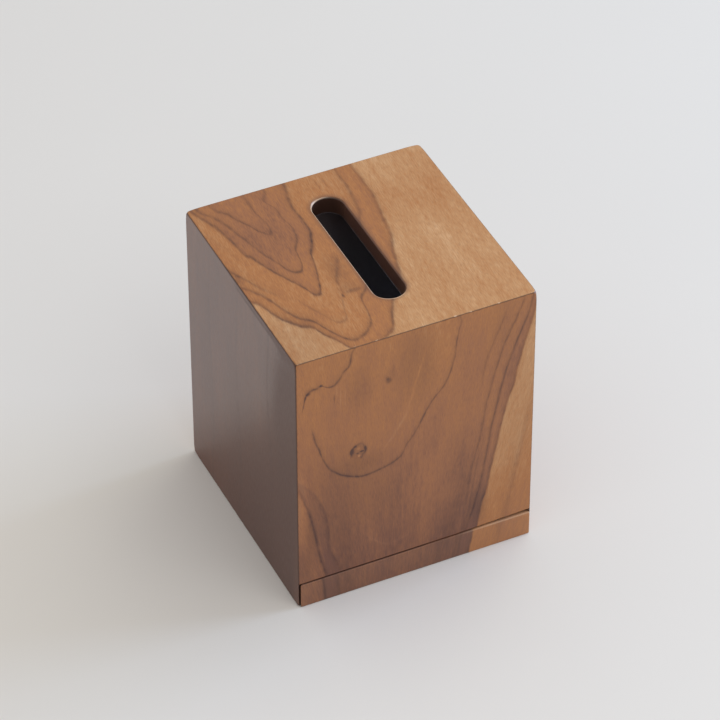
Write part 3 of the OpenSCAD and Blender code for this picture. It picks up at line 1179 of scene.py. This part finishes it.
def make_camera():
    """A long lens at the photograph's viewing angle."""
    back = outwards(VIEW_AZIMUTH, VIEW_ELEVATION)
    right = Z_AXIS.cross(back).normalized()
    above = back.cross(right)
    roll = Matrix.Rotation(math.radians(VIEW_ROLL), 3, back)
    right, above = roll @ right, roll @ above
    middle = Vector((0, 0, CASE_SIZE.z / 2))
    place = middle + back * VIEW_DISTANCE + right * VIEW_ASIDE + above * VIEW_ABOVE
    data = bpy.data.cameras.new("camera")
    data.lens = VIEW_LENS
    data.clip_end = 50
    camera = bpy.data.objects.new("camera", data)
    bpy.context.scene.collection.objects.link(camera)
    turned = Matrix((right, above, back)).transposed()
    camera.matrix_world = Matrix.Translation(place) @ turned.to_4x4()
    bpy.context.scene.camera = camera


def area_light(lamp, power):
    """A broad square light that faces the box."""
    data = bpy.data.lights.new(lamp.name, "AREA")
    data.shape = "SQUARE"
    data.size = lamp.size
    data.energy = power
    data.color = linear(lamp.colour)[:3]
    light = bpy.data.objects.new(lamp.name, data)
    bpy.context.scene.collection.objects.link(light)
    facing = outwards(lamp.azimuth, lamp.elevation)
    light.location = Vector((0, 0, CASE_SIZE.z / 2)) + facing * lamp.distance
    light.rotation_euler = facing.to_track_quat("Z", "Y").to_euler()
    light.visible_camera = False


def floor_paper(settings):
    """Matt paper: pale and even, with the faintest cloudiness."""
    material = bpy.data.materials.new("matt_paper")
    material.use_nodes = True
    tree = material.node_tree
    tree.nodes.clear()
    coordinate = add(tree, "ShaderNodeTexCoord")
    cloud = add(
        tree, "ShaderNodeTexNoise", coordinate.outputs["Object"],
        sockets={"Scale": 6.0, "Detail": 3.0})
    shade = add(
        tree, "ShaderNodeMapRange", cloud, sockets={"To Min": 0.985, "To Max": 1.01})
    paper = add(
        tree, "ShaderNodeMix", data_type="RGBA", blend_type="MULTIPLY",
        sockets={0: 1.0, 6: settings.floor, 7: shade}).outputs[2]
    shader = add(
        tree, "ShaderNodeBsdfPrincipled",
        sockets={"Base Color": paper, "Roughness": 0.8, "Specular IOR Level": 0.3})
    add(tree, "ShaderNodeOutputMaterial", shader)
    return material


# Operators


class TISSUEBOX_OT_stage(bpy.types.Operator):
    """Lays the floor, hangs the lights and places the camera"""

    bl_idname = "tissue_box.stage"
    bl_label = "Stage"

    def execute(self, context):
        settings = context.scene.tissue_box_stage
        make_camera()
        form = bmesh.new()
        bmesh.ops.create_grid(
            form, x_segments=FLOOR_CELLS, y_segments=FLOOR_CELLS, size=FLOOR_REACH)
        mesh = bpy.data.meshes.new("floor")
        form.to_mesh(mesh)
        form.free()
        mesh.materials.append(floor_paper(settings))
        floor = bpy.data.objects.new("floor", mesh)
        context.scene.collection.objects.link(floor)
        world = bpy.data.worlds.new("pale_room")
        world.use_nodes = True
        background = world.node_tree.nodes["Background"]
        background.inputs["Color"].default_value = linear(ROOM_COLOUR)
        background.inputs["Strength"].default_value = settings.room
        context.scene.world = world
        context.scene.view_settings.view_transform = "Standard"
        for lamp in LAMPS:
            area_light(lamp, getattr(settings, lamp.name))
        return {"FINISHED"}


class TISSUEBOX_OT_top_board(bpy.types.Operator):
    """Makes the top board, with its arched figure and the tissue slot"""

    bl_idname = "tissue_box.top_board"
    bl_label = "Top board"

    def execute(self, context):
        edges = context.scene.tissue_box_edges
        # Right of the slot the cut colour starts 0.1 mm in, so the rim's right chamfer is
        # darkened as painted shade
        material = teak(
            "oiled_teak_top", BOARDS["top_board"], TOP_RINGS, TOP_TONES, TOP_SPOTS,
            Finish(joints=("low", "high", "start", "end"), slant=0.08,
                   sanded=((60, 0.7), (70, 0.1)), routed_to=22.0))
        piece = dressed_board("top_board", "sanded_top", material, edges)
        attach(piece, "case")
        return {"FINISHED"}


class TISSUEBOX_OT_front_board(bpy.types.Operator):
    """Makes the front board, with its arch, its pin knot and its slanting dark lines"""

    bl_idname = "tissue_box.front_board"
    bl_label = "Front board"

    def execute(self, context):
        edges = context.scene.tissue_box_edges
        material = teak(
            "oiled_teak_front", BOARDS["front_board"], FRONT_RINGS, FRONT_TONES, FRONT_SPOTS,
            Finish(joints=STANDING_JOINTS, sanded=SANDED_DEEP, streaks=0.7, fan=FRONT_FAN))
        piece = dressed_board("front_board", "sanded_front", material, edges)
        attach(piece, "case")
        return {"FINISHED"}


class TISSUEBOX_OT_other_boards(bpy.types.Operator):
    """Makes the left, right and back boards"""

    bl_idname = "tissue_box.other_boards"
    bl_label = "Left, right and back boards"

    def execute(self, context):
        edges = context.scene.tissue_box_edges
        makings = (
            ("left_board", "sanded_left", "oiled_teak_left", LEFT_RINGS, LEFT_TONES,
             LEFT_SPOTS, 0.4, "teak_sides"),
            ("right_board", "sanded_right", "oiled_teak_right", RIGHT_RINGS, RIGHT_TONES,
             (), 0.0, "teak_sides"),
            ("back_board", "sanded_back", "oiled_teak_back", BACK_RINGS, BACK_TONES,
             (), 0.0, "teak_front"),
        )
        for node, name, material_name, rings, tones, spots, wax, slot in makings:
            material = teak(
                material_name, BOARDS[node], rings, tones, spots,
                Finish(joints=STANDING_JOINTS, sanded=SANDED_DEEP, wax=wax, streaks=0.65))
            piece = dressed_board(node, name, material, edges)
            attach(piece, "case")
        return {"FINISHED"}


class TISSUEBOX_OT_sliding_base(bpy.types.Operator):
    """Makes the front strip and finishes the base board that slides out with it"""

    bl_idname = "tissue_box.sliding_base"
    bl_label = "Sliding base"

    def execute(self, context):
        edges = context.scene.tissue_box_edges
        # Left of across 72 mm the cut colour reaches onto the strip's face and darkens its top
        # in the seam, as painted shade; to the right its top stays plain wood
        strip_teak = teak(
            "oiled_teak_strip", BOARDS["front_board"], FRONT_RINGS, FRONT_TONES, FRONT_SPOTS,
            Finish(shift=STRIP_SHIFT, sanded=((72, -0.15), (88, 3.0)), streaks=0.7,
                   fan=FRONT_FAN,
                   eased_top=(CASE_HIGH.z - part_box("base_strip")[1].z) / MM))
        strip = dressed_board("base_strip", "sanded_strip", strip_teak, edges)
        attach(strip, "base")
        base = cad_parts["base_board"]
        base_teak = teak("oiled_teak_base", BOARDS["base_board"], BASE_RINGS, BASE_TONES)
        base.data.materials.clear()
        base.data.materials.append(base_teak)
        return {"FINISHED"}


class TISSUEBOX_PT_panel(bpy.types.Panel):
    """Lists the pieces of the tissue box and their settings"""

    bl_idname = "TISSUEBOX_PT_panel"
    bl_label = "Tissue Box"
    bl_space_type = "VIEW_3D"
    bl_region_type = "UI"
    bl_category = "Tissue Box"

    def draw(self, context):
        layout = self.layout
        for operator in OPERATORS:
            layout.operator(operator.bl_idname)
        for group in SETTINGS:
            settings = getattr(context.scene, group)
            for name in settings.bl_rna.properties.keys():
                if name not in ("rna_type", "name"):
                    layout.prop(settings, name)


OPERATORS = (
    TISSUEBOX_OT_stage,
    TISSUEBOX_OT_top_board,
    TISSUEBOX_OT_front_board,
    TISSUEBOX_OT_other_boards,
    TISSUEBOX_OT_sliding_base,
)
SETTINGS = {
    "tissue_box_teak": TeakSettings,
    "tissue_box_edges": EdgeSettings,
    "tissue_box_stage": StageSettings,
}
CLASSES = (*SETTINGS.values(), *OPERATORS, TISSUEBOX_PT_panel)


def register():
    """Registers the classes and puts their settings on the scene."""
    for cls in CLASSES:
        bpy.utils.register_class(cls)
    for name, group in SETTINGS.items():
        setattr(bpy.types.Scene, name, PointerProperty(type=group))


def unregister():
    """Takes the settings and the classes away again."""
    for name in SETTINGS:
        delattr(bpy.types.Scene, name)
    for cls in reversed(CLASSES):
        bpy.utils.unregister_class(cls)


def main():
    register()
    for operator in OPERATORS:
        family, name = operator.bl_idname.split(".")
        getattr(getattr(bpy.ops, family), name)()


if __name__ == "__main__":
    main()
